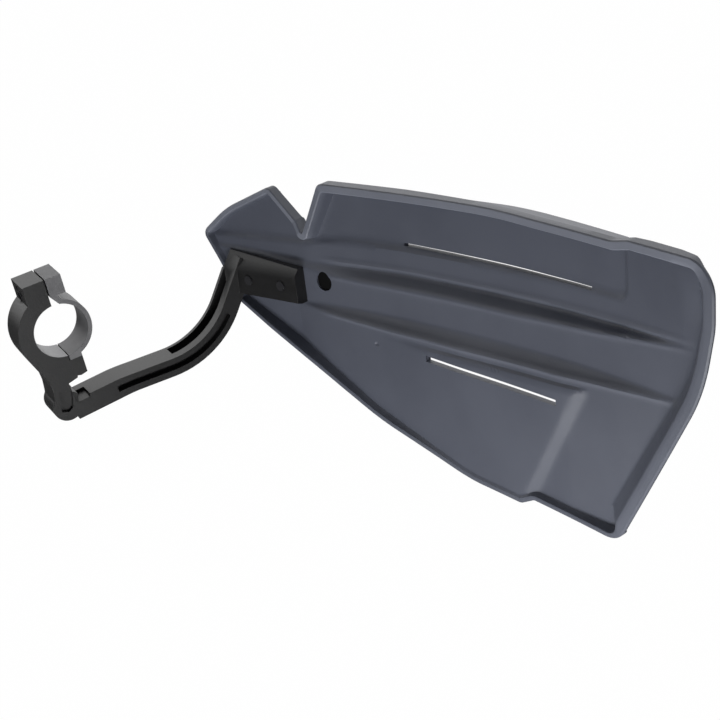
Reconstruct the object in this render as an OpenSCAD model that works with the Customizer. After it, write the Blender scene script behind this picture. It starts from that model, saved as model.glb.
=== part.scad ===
// Motorcycle hand guard for the right hand: a moulded fan-shaped shield on a bar clamp arm.
// Millimetres. The origin is the middle of the handlebar bore. +X runs along the bar
// towards its end, +Y runs forward, +Z runs up.

/* [Bar clamp] */
// Diameter of the handlebar
bar_d = 22.2; // [20:0.1:24]
// Width of the clamp along the bar
clamp_w = 15; // [14:0.5:18]
// Wall between the bore and the back of the arm's half
clamp_wall = 6.4; // [5:0.1:8]
// Gap between the two halves at the split
split_gap = 0.6; // [0.3:0.1:1.5]
// Lean of the split from upright, in degrees
clamp_tilt = 14.4; // [8:0.2:20]
// Thickness of the cap's strap
cap_t = 1.8; // [1.4:0.1:2.4]
// Depth of the cap's ear
cap_ear_t = 6.6; // [5.5:0.1:8]
// Height of the clamp ears above the bore
ear_h = 11.4; // [10.6:0.1:13]
// Thread of the clamp bolt
clamp_bolt_d = 4; // [3:0.5:4]

/* [Arm] */
// Width of the arm along the bar
arm_w = 13; // [12:0.5:14]
// Height of the arm's section
arm_h = 8.4; // [7.6:0.1:9.4]
// Height of the arm's section where it meets the plate
arm_end_h = 7.2; // [6.4:0.1:8.4]
// Thickness of the arm's lower flange
flange_t = 3; // [2.4:0.1:3.4]
// Height of the groove in the arm's outer side
groove_h = 2.6; // [1.6:0.1:3]
// Depth of the groove in the arm's outer side
groove_d = 3.4; // [2:0.1:4]
// Radius of the knuckle under the clamp
knuckle_r = 6.3; // [5.6:0.1:7]
// Drop of the knuckle's middle under the bar
knuckle_drop = 32.8; // [31:0.2:34]

/* [Mounting plate] */
// Thickness of the plate
plate_t = 5.5; // [4.5:0.1:7]
// Length of the plate
plate_l = 38; // [34:0.5:40]
// Height of the plate at its seat
plate_h = 14.4; // [13:0.2:16]
// Spacing of the two shield screws
screw_pitch = 18.5; // [15:0.5:20]
// Thread of the shield screws
screw_d = 4; // [3:0.5:5]

/* [Shield] */
// Wall of the shield
wall = 2.5; // [2:0.1:3]
// Depth of the mounting channel under the rim
channel_depth = 7; // [5:0.2:9]
// Height of the upper step at its highest
upper_step = 4.6; // [2:0.2:6]
// Height of the lower step at its highest
lower_step = 3.8; // [1:0.2:5]
// Radius of the shield's wrap around the hand
wrap_r = 900; // [600:50:1600]
// Width of the rim's lip along the top
lip_top = 4.2; // [3.2:0.1:6]
// Width of the rim's lip along the outer end
lip_end = 4.4; // [3.2:0.1:6]
// Width of the rim's lip along the bottom
lip_bottom = 3.4; // [2.4:0.1:4.4]
// Diameter of the spare fixing hole
spare_hole_d = 8; // [6:0.5:9]
// Width of the upper vent slot
slot_w = 1.6; // [1.2:0.1:2.4]
// Length of the upper vent slot
slot_l = 96; // [60:1:104]
// Length of the lower vent slot
low_slot_l = 64; // [40:1:70]

/* [Placing] */
// Forward sweep of the shield from the bar, in degrees
sweep = 22; // [16:0.5:28]
// Lean of the shield's top towards the rider, in degrees
lean = 5; // [0:0.5:10]
// Climb of the shield towards the bar end, in degrees
climb = 5; // [0:0.5:10]

/* [Hidden] */
$fn = 64;
play = 0.1;
eps = 0.01;

// Shield reference point: the spare hole's middle at rim height
shield_at = [48, 91, 17];
plate_u = -10.8;
screw_u = -19.5;
screw_v = -2.6;
plate_mid_v = -2.6;
pad_level = -channel_depth;

// Clamp sizes
bore_r = bar_d / 2;
body_r = bore_r + clamp_wall;
ear_top = bore_r + ear_h;
ear_back = -bore_r + 1.4;
body_face = -0.6;
cap_face = body_face + split_gap;
cap_back = cap_face + cap_ear_t;
cap_ear_low = ear_top - 7.9;
bolt_z = ear_top - 4.8;
bolt_head_d = clamp_bolt_d * 1.75;
bolt_head_h = clamp_bolt_d;
shoulder_z = -bore_r - 2.3;
shoulder_y = 5;
shoulder_h = 7.2;
tongue_w = clamp_w - 4;
tongue_t = 1.4;
tongue_h = 2;
tongue_y = 2.6;

// Shield fasteners
head_d = screw_d * 1.9;
head_h = screw_d * 0.55;
washer_d = screw_d * 2.25;
washer_t = 0.8;
insert_d = screw_d * 1.5;
insert_l = plate_t - 1.2;
tip_out = 0.5;
plug_flange_d = spare_hole_d + 3;
plug_flange_t = 1.4;
plug_recess = 0.7;

// Lengths along a line and around corners
function unit(v) = v / norm(v);
function mix(a, b, t) = a + (b - a) * t;
function clampv(x, lo, hi) = min(hi, max(lo, x));
function ramp(x, a, b) = let (t = clampv((x - a) / (b - a), 0, 1)) t * t * (3 - 2 * t);
function turn(a) = a > 180 ? a - 360 : a < -180 ? a + 360 : a;
function xy(p) = [p[0], p[1]];

// Arc of n steps that rounds corner b, between a and c, with radius r
function fillet(a, b, c, r, n) =
    let (u = unit(a - b), w = unit(c - b), half = acos(clampv(u * w, -1, 1)) / 2,
         m = b + unit(u + w) * r / sin(half),
         p = b + u * r / tan(half) - m, q = b + w * r / tan(half) - m,
         s = atan2(p[1], p[0]), e = turn(atan2(q[1], q[0]) - s))
    [for (i = [0 : n]) m + r * [cos(s + e * i / n), sin(s + e * i / n)]];

// Open path with rounded corners from a list of [x, y, radius]
function path(v, n) =
    concat([xy(v[0])],
           [for (i = [1 : len(v) - 2]) each fillet(xy(v[i - 1]), xy(v[i]), xy(v[i + 1]), v[i][2], n)],
           [xy(v[len(v) - 1])]);

// The same path, moved sideways by d
function tangent(p, i) = unit(p[min(i + 1, len(p) - 1)] - p[max(i - 1, 0)]);
function beside(p, d, e) =
    [for (i = [0 : len(p) - 1]) let (t = tangent(p, i)) p[i] + mix(d, e, i / (len(p) - 1)) * [-t[1], t[0]]];
function backwards(p) = [for (i = [len(p) - 1 : -1 : 0]) p[i]];
function strip(p, lo, hi, lo_end, hi_end) = concat(beside(p, hi, hi_end), backwards(beside(p, lo, lo_end)));

// Shield chart: u runs along the shield, v up its face, h towards the rider. The pad is
// flat, and past the spare hole the face wraps back towards the bar.
function chart(u, v, h) =
    u < 0 ? [u, v, h]
          : let (a = u / wrap_r * 180 / PI, r = wrap_r - h) [r * sin(a), v, wrap_r - r * cos(a)];

// Outline of the shield, clockwise from the inner tip: [u, v, corner radius]
TIP = 0;
TOP_END = 8;
LOW_END = 11;
LOW_START = 16;
OUTLINE = [
    [-66, 14.3, 4], [-50, 27.2, 22], [-23.2, 38.2, 3.6], [-8.6, 25.6, 1.6], [-7.4, 18.6, 0.5],
    [6.6, 42.6, 6.5], [100, 45.6, 380], [157.5, 40.6, 6],
    [203, 43.4, 12], [203.4, 17, 60], [190.5, -13, 80],
    [152.5, -74.2, 8], [107, -67.6, 4], [100, -70, 4], [60, -62.6, 120], [10, -45.6, 110],
    [-47.6, -13.8, 3]];
STEP_OUT = [165, 43.6, 6];
CORNERS = concat([for (i = [0 : 7]) OUTLINE[i]], [STEP_OUT], [for (i = [8 : 16]) OUTLINE[i]]);
corner_steps = 8;
half_steps = corner_steps / 2;
last_corner = len(CORNERS) - 1;
ARCS = [for (i = [0 : last_corner])
    fillet(xy(CORNERS[i == 0 ? last_corner : i - 1]), xy(CORNERS[i]),
           xy(CORNERS[i == last_corner ? 0 : i + 1]), CORNERS[i][2], corner_steps)];

// The four sides run between the middles of four corners
function first_half(a) = [for (i = [0 : half_steps]) a[i]];
function last_half(a) = [for (i = [half_steps : corner_steps]) a[i]];
function side(a, b) =
    concat(last_half(ARCS[a]),
           b > a + 1 ? [for (i = [a + 1 : b - 1]) each ARCS[i]] : [],
           first_half(ARCS[b]));
corner_tr = TOP_END + 1;
corner_br = LOW_END + 1;
corner_bl = LOW_START + 1;
TOP_SIDE = side(TIP, corner_tr);
END_SIDE = side(corner_tr, corner_br);
LOW_SIDE = side(corner_br, corner_bl);
TIP_SIDE = concat(last_half(ARCS[corner_bl]), first_half(ARCS[TIP]));
TOP_TABLE = [for (p = TOP_SIDE) [p[0], p[1]]];
LOW_TABLE = [for (p = LOW_SIDE) [p[0], p[1]]];
END_TABLE = [for (p = END_SIDE) [p[1], p[0]]];
TIP_TABLE = [for (p = TIP_SIDE) [p[1], p[0]]];
function top_v(u) = lookup(u, TOP_TABLE);
function low_v(u) = lookup(u, LOW_TABLE);
function end_u(v) = lookup(v, END_TABLE);
function tip_u(v) = lookup(v, TIP_TABLE);

// Columns of the shell, from the tip to the outer end, along the top and along the bottom
function span(a, b, n) = [for (i = [0 : n - 1]) mix(a, b, i / n)];
notch_u = CORNERS[4][0];
NOTCH_STEPS = [-2, -1.1, -0.55, -0.25, 0, 0.45];
zone_top_u = 150.6;
zone_low_u = 98;
zone_wall_top = 3;
zone_wall_low = 4;
COLS_TOP = concat(span(TOP_SIDE[0][0], -23, 7), span(-23, notch_u - 2, 4), [for (d = NOTCH_STEPS) notch_u + d],
                  span(-5.6, 9, 6), span(9, 40, 4), span(40, zone_top_u, 9),
                  span(zone_top_u, zone_top_u + zone_wall_top, 3), span(zone_top_u + zone_wall_top, 168, 5),
                  span(168, TOP_SIDE[len(TOP_SIDE) - 1][0], 6), [TOP_SIDE[len(TOP_SIDE) - 1][0]]);
COLS_LOW = concat(span(LOW_SIDE[len(LOW_SIDE) - 1][0], -21, 7), span(-21, -11, 4),
                  span(-11, -2, 6), span(-2, 10, 6), span(10, 38, 4), span(38, zone_low_u, 9),
                  span(zone_low_u, zone_low_u + zone_wall_low, 3), span(zone_low_u + zone_wall_low, 111, 5), span(111, LOW_SIDE[0][0], 6), [LOW_SIDE[0][0]]);
cols = len(COLS_TOP) - 1;
zone_col = 7 + 4 + 6 + 6 + 4 + 9;
end_blend_col = zone_col - 6;
tip_blend_col = 8;

// Crease lines, each a height v over u
function crest_v(u) = upper_top_v(u) + 1.7;
function slit_v(u) = lookup(u, [[-60, 14.6], [-12, 16.4], [10, 18.6], [139, 17.8], [200, 16.6]]);
function upper_top_v(u) = lookup(u, [[-60, 9.4], [-36, 8.6], [-8, 6.8], [40, 4.9], [150, 4.4], [178, 6.2], [200, 7.4]]);
function upper_low_v(u) = lookup(u, [[-60, 8.7], [-36, 7.4], [-8, 4.2], [40, 1.5], [101, 0.9], [140, 2.2], [174, 5.6], [200, 6.9]]);
function lower_top_v(u) = lookup(u, [[-60, -8.8], [-16, -9.6], [40, -11.4], [90, -11.8], [139, -12.8], [170, -13.8], [200, -14.4]]);
function lower_low_v(u) = lookup(u, [[-60, -9.8], [-15, -11.2], [38, -15], [75, -16.1], [121, -16.2], [160, -15.2], [180, -14.6], [200, -15.2]]);

// Levels of the face, each a height h towards the rider
function upper_drop(u) = upper_step * lookup(u, [[-60, 0.2], [-10, 0.36], [40, 0.78], [90, 1], [125, 0.96], [150, 0.6], [177, 0]]);
function lower_rise(u) = lower_step * lookup(u, [[-16, 0], [0, 0.45], [40, 0.94], [80, 1], [125, 0.96], [150, 0.6], [180, 0]]);
zone_dip = 2.2;
fin_dip = 1.4;
upper_fall = 2;
zone_lift = 1.8;
crest_lift = 0.5;
edge_round = 0.35;
function zone_end(i) = 1 - ramp(i, zone_col - 0.5, zone_col + 3.5);
function upper_dip(i, u) =
    u < 0 ? fin_dip * (1 - ramp(u, -14, -6)) + zone_dip * 0.5 * ramp(u, -6, 0)
          : zone_dip * mix(0.5, 1, ramp(u, 0, 70)) * zone_end(i);
function lower_zone(i, u) = ramp(u, 30, 80) * zone_end(i);

// Rim: level of the lip, floor under it, run of the wall and width of the lip
function lip_level(u, top) = top ? lookup(u, [[-70, -5.4], [0, -4.2], [60, -2.4], [120, 0]])
                                 : lookup(u, [[-60, -5.6], [-47, -3.4], [-30, -2], [10, -0.5], [40, 0]]);

// Rows of one column from the rim's foot at the top, b, to its foot at the bottom, e
rows = 22;
least_row = 0.32;
function row_target(j, u, vt, vb) =
    let (z = slit_v(u), c = upper_top_v(u), f = upper_low_v(u), g = lower_top_v(u), k = lower_low_v(u))
    [vt, mix(vt, z, 0.35), mix(vt, z, 0.75), z + slot_w / 2 + 0.2, z - slot_w / 2 - 0.2,
     mix(z, c, 0.5), c + 1.7, c, f + 0.5, f - 0.5, mix(f, g, 0.4), mix(f, g, 0.75), g, k + 0.5, k - 0.5,
     k - 1.7, k - 3.1, mix(k - 3.1, vb, 0.15), mix(k - 3.1, vb, 0.34), mix(k - 3.1, vb, 0.55),
     mix(k - 3.1, vb, 0.75), mix(k - 3.1, vb, 0.9), vb][j];
function row_v(j, u, vt, vb) =
    clampv(row_target(j, u, vt, vb), vb + least_row * (rows - j), vt - least_row * j);
function level(i, j, u) =
    let (up = pad_level - upper_drop(u), low = pad_level + lower_rise(u),
         zu = up - upper_dip(i, u), zl = low + zone_lift * lower_zone(i, u))
    j <= 3 ? zu - upper_fall * ramp(u, -30, 20) * [1, 0.62, 0.2, 0][j]
    : j <= 5 ? up
    : j == 6 ? up + crest_lift
    : j == 7 ? up
    : j == 8 ? pad_level - min(edge_round, upper_drop(u) / 3)
    : j <= 12 ? pad_level
    : j == 13 ? low - min(edge_round, lower_rise(u) / 3)
    : j == 14 ? low
    : j == 15 ? low - 0.2 * lower_zone(i, u)
    : zl;

// Rim sizes at one point of the outline: side 0 top, 1 outer end, 2 bottom, 3 tip
function lip_width(s, u) =
    s == 0 ? mix(2.3, lip_top, ramp(u, 5, 60))
    : s == 1 ? lip_end
    : s == 2 ? mix(mix(2.2, lip_bottom, ramp(u, -20, 20)), lip_end, ramp(u, 120, 150))
    : 1.6;
function wall_run(s, u) =
    s == 0 ? mix(0.9, 5.6, ramp(u, 20, 90)) + 1.6 * ramp(u, 186, 200) + 1.2 * ramp(u, -26, -18) * (1 - ramp(u, -13, -9))
    : s == 1 ? 6.2
    : s == 2 ? mix(0.9, 4.6, ramp(u, 128, 150))
    : 0.6;
foot_run = 1.3;

// One outline point with its inward direction: [point, inward, side]
function outline_at(s, k) =
    s == 0 ? [COLS_TOP[k], top_v(COLS_TOP[k])]
    : s == 1 ? let (v = mix(END_SIDE[0][1], END_SIDE[len(END_SIDE) - 1][1], end_t(k))) [end_u(v), v]
    : s == 2 ? [COLS_LOW[k], low_v(COLS_LOW[k])]
    : let (v = mix(TIP_SIDE[len(TIP_SIDE) - 1][1], TIP_SIDE[0][1], end_t(k))) [tip_u(v), v];
function end_t(k) = (k / rows + 0.35 * (0.5 - 0.5 * cos(180 * k / rows)) * 1) / 1.35;

// The closed loop: along the top, down the end, back along the bottom, up the tip
loop_n = 2 * cols + 2 * rows;
function loop_side(n) = n < cols ? 0 : n < cols + rows ? 1 : n < 2 * cols + rows ? 2 : 3;
function loop_step(n) =
    n < cols ? n : n < cols + rows ? n - cols
    : n < 2 * cols + rows ? 2 * cols + rows - n : loop_n - n;
LOOP = [for (n = [0 : loop_n - 1]) outline_at(loop_side(n), loop_step(n))];
INWARD = [for (n = [0 : loop_n - 1])
    let (a = LOOP[(n + loop_n - 1) % loop_n], b = LOOP[n], c = LOOP[(n + 1) % loop_n],
         t = unit(unit(b - a) + unit(c - b))) [t[1], -t[0]]];
LIP = [for (n = [0 : loop_n - 1]) lip_width(loop_side(n), LOOP[n][0])];
RUN = [for (n = [0 : loop_n - 1]) wall_run(loop_side(n), LOOP[n][0])];
function soft(list, n) = (list[(n + loop_n - 2) % loop_n] + 2 * list[(n + loop_n - 1) % loop_n] + 3 * list[n]
    + 2 * list[(n + 1) % loop_n] + list[(n + 2) % loop_n]) / 9;
LIP_S = [for (n = [0 : loop_n - 1]) soft(LIP, n)];
RUN_S = [for (n = [0 : loop_n - 1]) soft(RUN, n)];
LEVEL_L = [for (n = [0 : loop_n - 1])
    let (s = loop_side(n), u = LOOP[n][0])
    s == 0 ? lip_level(u, true) : s == 1 ? 0 : s == 2 ? lip_level(u, false) : mix(-5.4, -5.6, loop_step(n) / rows)];
LEVEL_S = [for (n = [0 : loop_n - 1]) soft(LEVEL_L, n)];
function inside(n, d) = LOOP[n] + INWARD[n] * d;
FOOT = [for (n = [0 : loop_n - 1]) inside(n, LIP_S[n] + RUN_S[n] + foot_run)];

// Where column i, row j lies in the loop, for the edge points of the grid
function top_n(i) = i;
function end_n(j) = cols + j;
function low_n(i) = (2 * cols + rows - i) % loop_n;
function tip_n(j) = (loop_n - j) % loop_n;

function column(i) =
    let (b = FOOT[top_n(i)], e = FOOT[low_n(i)],
         w_end = ramp(i, end_blend_col, cols), w_tip = 1 - ramp(i, 0, tip_blend_col))
    [for (j = [0 : rows])
        let (t0 = j / rows, u0 = mix(b[0], e[0], t0),
             v0 = row_v(j, u0, b[1], e[1]),
             t1 = (b[1] - v0) / (b[1] - e[1]), u1 = mix(b[0], e[0], t1),
             pe = FOOT[end_n(j)], pt = FOOT[tip_n(j)],
             bulge_e = end_foot_u(v0) - mix(FOOT[end_n(0)][0], FOOT[end_n(rows)][0], t1),
             bulge_t = tip_foot_u(v0) - mix(FOOT[tip_n(0)][0], FOOT[tip_n(rows)][0], t1))
        j == 0 ? b : j == rows ? e
        : i == cols ? pe : i == 0 ? pt
        : [u1 + w_end * bulge_e + w_tip * bulge_t,
           mix(mix(v0, pe[1], ramp(i, cols - 7, cols)), pt[1], 1 - ramp(i, 0, 5))]];
FOOT_END = [for (j = [0 : rows]) [FOOT[end_n(j)][1], FOOT[end_n(j)][0]]];
FOOT_TIP = [for (j = [0 : rows]) [FOOT[tip_n(j)][1], FOOT[tip_n(j)][0]]];
function end_foot_u(v) = lookup(v, FOOT_END);
function tip_foot_u(v) = lookup(v, FOOT_TIP);

GRID = [for (i = [0 : cols]) let (c = column(i)) [for (j = [0 : rows]) [c[j][0], c[j][1], level(i, j, c[j][0])]]];

// The same grid on the front face: each point moves off along the face's slope, mostly
// straight forward, so that tight corners don't fold over
across_share = 0.3;
function across(i, j) =
    let (a = GRID[max(i - 1, 0)][j], b = GRID[min(i + 1, cols)][j],
         c = GRID[i][max(j - 1, 0)], d = GRID[i][min(j + 1, rows)],
         nrm = unit(cross(b - a, c - d)))
    nrm[2] < 0 ? -nrm : nrm;
function front(i, j) =
    let (g = GRID[i][j], m = across(i, j) * across_share,
         edge = i == 0 || i == cols || j == 0 || j == rows)
    edge ? [g[0], g[1], g[2] - wall] : g - wall * [m[0], m[1], 1];

// Rim section from the foot outwards: [distance in from the outline, level] on both faces
rim_wall = 2;
lip_round = 0.7;
function rim(n, f) =
    let (w = LIP_S[n], r = RUN_S[n], top = max(LEVEL_S[n], f + 0.7), d = top - f,
         len_w = sqrt(r * r + d * d), off = min(w - 0.35, rim_wall * (len_w - r) / d),
         soft_in = min(0.5, w * 0.2))
    [[w + r * 0.82, f + min(0.9, d * 0.3)],
     [w + r * 0.12, top - min(0.6, d * 0.2)],
     [w - soft_in, top],
     [lip_round, top],
     [lip_round * 0.25, top - lip_round * 0.35],
     [0, top - lip_round],
     [0.15, top - rim_wall + 0.3],
     [max(0.5, w - off), top - rim_wall],
     [max(0.5, w - off) + r * 0.85, min(top - rim_wall - 0.1, f - wall + d * 0.15)]];
rim_n = 9;
function foot_level(n) =
    let (s = loop_side(n), k = loop_step(n))
    s == 0 ? GRID[k][0][2] : s == 1 ? GRID[cols][k][2] : s == 2 ? GRID[k][rows][2] : GRID[0][k][2];
RIM = [for (n = [0 : loop_n - 1]) let (r = rim(n, foot_level(n)))
    [for (k = [0 : rim_n - 1]) let (p = inside(n, r[k][0])) [p[0], p[1], r[k][1]]]];

// Points and faces of the shell
face_n = (cols + 1) * (rows + 1);
function at(i, j) = i * (rows + 1) + j;
function at_front(i, j) = face_n + at(i, j);
function at_rim(n, k) = 2 * face_n + (n % loop_n) * rim_n + k;
function at_loop(n) =
    let (m = n % loop_n, s = loop_side(m), k = loop_step(m))
    s == 0 ? [k, 0] : s == 1 ? [cols, k] : s == 2 ? [k, rows] : [0, k];
SHELL_POINTS = concat(
    [for (i = [0 : cols]) for (j = [0 : rows]) let (g = GRID[i][j]) chart(g[0], g[1], g[2])],
    [for (i = [0 : cols]) for (j = [0 : rows]) let (g = front(i, j)) chart(g[0], g[1], g[2])],
    [for (n = [0 : loop_n - 1]) for (k = [0 : rim_n - 1]) let (g = RIM[n][k]) chart(g[0], g[1], g[2])]);
function quad(a, b, c, d) = [[a, b, c], [a, c, d]];
SHELL_FACES = concat(
    [for (i = [0 : cols - 1]) for (j = [0 : rows - 1])
        each quad(at(i, j), at(i, j + 1), at(i + 1, j + 1), at(i + 1, j))],
    [for (i = [0 : cols - 1]) for (j = [0 : rows - 1])
        each quad(at_front(i, j), at_front(i + 1, j), at_front(i + 1, j + 1), at_front(i, j + 1))],
    [for (n = [0 : loop_n - 1]) let (p = at_loop(n), q = at_loop(n + 1))
        each quad(at(p[0], p[1]), at(q[0], q[1]), at_rim(n + 1, 0), at_rim(n, 0))],
    [for (n = [0 : loop_n - 1]) for (k = [0 : rim_n - 2])
        each quad(at_rim(n, k), at_rim(n + 1, k), at_rim(n + 1, k + 1), at_rim(n, k + 1))],
    [for (n = [0 : loop_n - 1]) let (p = at_loop(n), q = at_loop(n + 1), k = rim_n - 1)
        each quad(at_rim(n, k), at_rim(n + 1, k), at_front(q[0], q[1]), at_front(p[0], p[1]))]);

// Puts shield coordinates, u v h along x y z, in the part's frame
module on_shield() {
    translate(shield_at) rotate([0, 0, sweep]) rotate([lean, 0, 0]) rotate([0, -climb, 0])
        rotate([90, 0, 0]) children();
}

module at_pad(u, v, h) {
    on_shield() translate([u, v, h]) children();
}

module shield_shell() {
    polyhedron(points = SHELL_POINTS, faces = SHELL_FACES, convexity = 12);
}

slot_from = 39;
low_slot_from = 56;
low_slot_v = -21.2;
low_slot_fall = 3.6;
low_slot_w = 2.3;
slot_cut = 60;

// Straight cuts through the face, square to its flat part
module vent_slots() {
    mid = slot_from + slot_l / 2;
    translate([mid, slit_v(mid), 0]) cube([slot_l, slot_w, slot_cut], center = true);
    low_mid = low_slot_from + low_slot_l / 2;
    translate([low_mid, low_slot_v - low_slot_fall / 2, 0])
        rotate([0, 0, -atan(low_slot_fall / low_slot_l)])
            cube([low_slot_l, low_slot_w, slot_cut], center = true);
}

module shield() {
    color([0.33, 0.35, 0.39]) on_shield() difference() {
        shield_shell();
        vent_slots();
        for (k = [0, 1])
            translate([screw_u - k * screw_pitch, screw_v, pad_level - wall - 2])
                cylinder(d = screw_d + 4 * play, h = wall + 4);
        translate([0, 0, pad_level - wall - 2]) cylinder(d = spare_hole_d, h = wall + 4);
    }
}

// Clamp frame: y across the split, z up it, x along the bar
module in_clamp() {
    rotate([clamp_tilt, 0, 0]) children();
}

// Extrudes a flat drawing in y and z to a width along the bar, middled on the bar's middle
module along_bar(width, from = undef) {
    x0 = is_undef(from) ? -width / 2 : from;
    translate([x0, 0, 0]) rotate([90, 0, 90]) linear_extrude(height = width) children();
}

// Back edge of the neck under the clamp, in the clamp's own frame
neck_back_y = bore_r + 0.1;
neck_in = 8.8;
NECK_BACK = [[-body_r + 1.2, -4], [-body_r + 1.5, -shoulder_h], [-body_r + 3.5, -12.4], [-neck_back_y, -18.4],
             [-neck_back_y + 0.4, -23], [-neck_back_y, -27.5], [-neck_back_y - 0.6, -31], [-3, -33]];

module clamp_profile() {
    difference() {
        union() {
            intersection() {
                circle(r = body_r);
                translate([-body_r, -body_r]) square([body_r + body_face, 2 * body_r]);
            }
            translate([ear_back, 0]) square([body_face - ear_back, ear_top]);
            polygon(concat(NECK_BACK, [[shoulder_y - neck_in, shoulder_z - shoulder_h - 2],
                                       [shoulder_y, shoulder_z - shoulder_h], [shoulder_y, shoulder_z],
                                       [body_face, shoulder_z], [body_face, -4]]));
        }
        circle(r = bore_r);
    }
}

// A point of the shield's chart in the part's frame, for its flat part
function placed(p) =
    let (x = p[0] * cos(climb) - p[1] * sin(climb), z = p[0] * sin(climb) + p[1] * cos(climb),
         y = -p[2] * cos(lean) - z * sin(lean), up = -p[2] * sin(lean) + z * cos(lean))
    shield_at + [x * cos(sweep) - y * sin(sweep), x * sin(sweep) + y * cos(sweep), up];

// Middle line of the arm in y and z, from the knuckle to the plate
knuckle_y = 1.5;
arm_root = [4.8, 2.2 - knuckle_drop - arm_h / 2 - 0.4];
arm_sag = [27, -27.9];
arm_end_u = -50.5;
arm_end = placed([arm_end_u, 4.8, pad_level - 2.6]);
elbow = [arm_end[1] - 15, arm_end[2] - 37.8];
ARM_LINE = [[arm_root[0], arm_root[1], 0], [arm_sag[0], arm_sag[1], 80], [elbow[0], elbow[1], 36],
            [arm_end[1], arm_end[2], 0]];
arm_path = path(ARM_LINE, 14);
arm_half = arm_h / 2;
end_half = arm_end_h / 2;
groove_low = -arm_half + flange_t;
groove_low_end = -end_half + flange_t - 0.5;
top_groove_w = 6.4;
top_groove_x = -4.6;
top_groove_floor = 0.6;
top_groove_from = 17;
top_groove_path = [for (i = [top_groove_from : len(arm_path) - 1]) arm_path[i]];

// Pocket in the knuckle's outer side, where the arm leaves it
root_pocket = [[5.8, -31.8], [10.8, -30.2], [10.8, -20], [5.8, -20]];
root_pocket_x = -2;
// Recess in the neck's outer side
neck_recess = [[-2.6, -26], [3.1, -26], [3.6, -33.4], [1.8, -35.4], [-1.2, -35]];
neck_recess_d = 2.6;
recess_rib = [[3.4, -24.6], [5.2, -24.6], [5.2, -33], [3.4, -34]];

module arm_beam() {
    difference() {
        union() {
            along_bar(arm_w) polygon(strip(arm_path, -arm_half, arm_half, -end_half, end_half));
            along_bar(arm_w) translate([knuckle_y, -knuckle_drop]) circle(r = knuckle_r);
        }
        along_bar(groove_d + 1, arm_w / 2 - groove_d)
            polygon(strip([for (i = [1 : len(arm_path) - 3]) arm_path[i]],
                          groove_low, groove_low + groove_h, groove_low_end, groove_low_end + groove_h));
        along_bar(top_groove_w, top_groove_x)
            polygon(strip(top_groove_path, top_groove_floor, arm_half + 3, top_groove_floor, arm_half + 3));
    }
}

// The plate: its seat outline cut by its section, which leans in at the top
plate_low = plate_mid_v - plate_h / 2;
plate_top_inner = plate_mid_v + plate_h / 2 + 3.4;
plate_top_outer = plate_mid_v + plate_h / 2 + 0.2;
plate_face_top = plate_mid_v + plate_h / 2 - 2.6;

module plate() {
    at_pad(0, 0, pad_level) intersection() {
        linear_extrude(height = plate_t)
            polygon([[plate_u - plate_l - 5, plate_low + 0.6], [plate_u, plate_low], [plate_u, plate_top_outer],
                     [plate_u - plate_l - 5, plate_top_inner]]);
        translate([plate_u + 1, 0, 0]) rotate([0, -90, 0]) linear_extrude(height = plate_l + 4)
            polygon([[0, plate_low - 1], [plate_t, plate_low + 0.8], [plate_t, plate_face_top],
                     [0, plate_top_inner + 0.6]]);
    }
}

// What the arm keeps clear of: the shield's floor, and the foot of its rim at the tip
seat_clear_u = -53.6;
seat_clear_h = 2.2;
seat_cut_d = 40;

module seat_cut() {
    at_pad(plate_u - plate_l, 0, pad_level - seat_cut_d / 2)
        cube([3 * seat_cut_d, 2 * seat_cut_d, seat_cut_d], center = true);
    at_pad(seat_clear_u - seat_cut_d / 2, 0, pad_level)
        cube([seat_cut_d, 2 * seat_cut_d, 2 * seat_clear_h], center = true);
}

module arm() {
    color([0.15, 0.15, 0.15]) difference() {
        union() {
            in_clamp() along_bar(clamp_w) clamp_profile();
            arm_beam();
            plate();
        }
        in_clamp() translate([-clamp_w, 0, 0]) rotate([0, 90, 0]) cylinder(r = bore_r, h = 2 * clamp_w);
        difference() {
            along_bar(clamp_w, clamp_w / 2 - neck_recess_d) polygon(neck_recess);
            along_bar(clamp_w) polygon(recess_rib);
        }
        along_bar(clamp_w, root_pocket_x) polygon(root_pocket);
        in_clamp() along_bar(tongue_w + 2 * play) translate([tongue_y - tongue_t / 2 - play, shoulder_z - tongue_h - play])
            square([tongue_t + 2 * play, tongue_h + 1]);
        seat_cut();
        clamp_bolt_hole(clamp_bolt_d + 4 * play, bolt_head_d + 4 * play);
        for (k = [0, 1]) at_pad(screw_u - k * screw_pitch, screw_v, pad_level) {
            translate([0, 0, -1]) cylinder(d = insert_d, h = 1 + insert_l);
            cylinder(d = screw_d + 2 * play, h = plate_t + 2);
        }
    }
}

// Bolt axis across the ears, along y from the back of the arm's ear
module across_ears(y) {
    in_clamp() translate([0, y, bolt_z]) rotate([-90, 0, 0]) children();
}

module clamp_bolt_hole(hole_d, head_hole_d) {
    across_ears(ear_back - 1) cylinder(d = hole_d, h = cap_back - ear_back + 2);
    across_ears(ear_back - 1) cylinder(d = head_hole_d, h = bolt_head_h + 1.4);
}

// The strap leaves the bore's circle at strap_y and bends up to the ear
strap_y = 2.6;
strap_in = sqrt(bore_r * bore_r - strap_y * strap_y);
foot_h = 4.4;

module cap_profile() {
    difference() {
        union() {
            intersection() {
                circle(r = bore_r + cap_t);
                translate([strap_y, -bore_r - cap_t]) square([bore_r + cap_t, 2 * (bore_r + cap_t)]);
            }
            polygon([[strap_y - eps, strap_in - eps], [strap_y + cap_t, strap_in + cap_t - 0.7],
                     [cap_face + cap_t + 1, cap_ear_low + eps], [cap_face, cap_ear_low + eps]]);
            translate([cap_face, cap_ear_low]) square([cap_ear_t, ear_top - cap_ear_low]);
            translate([body_face + 0.4, shoulder_z]) square([shoulder_y - body_face - 0.4, foot_h]);
        }
        circle(r = bore_r);
    }
}

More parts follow.
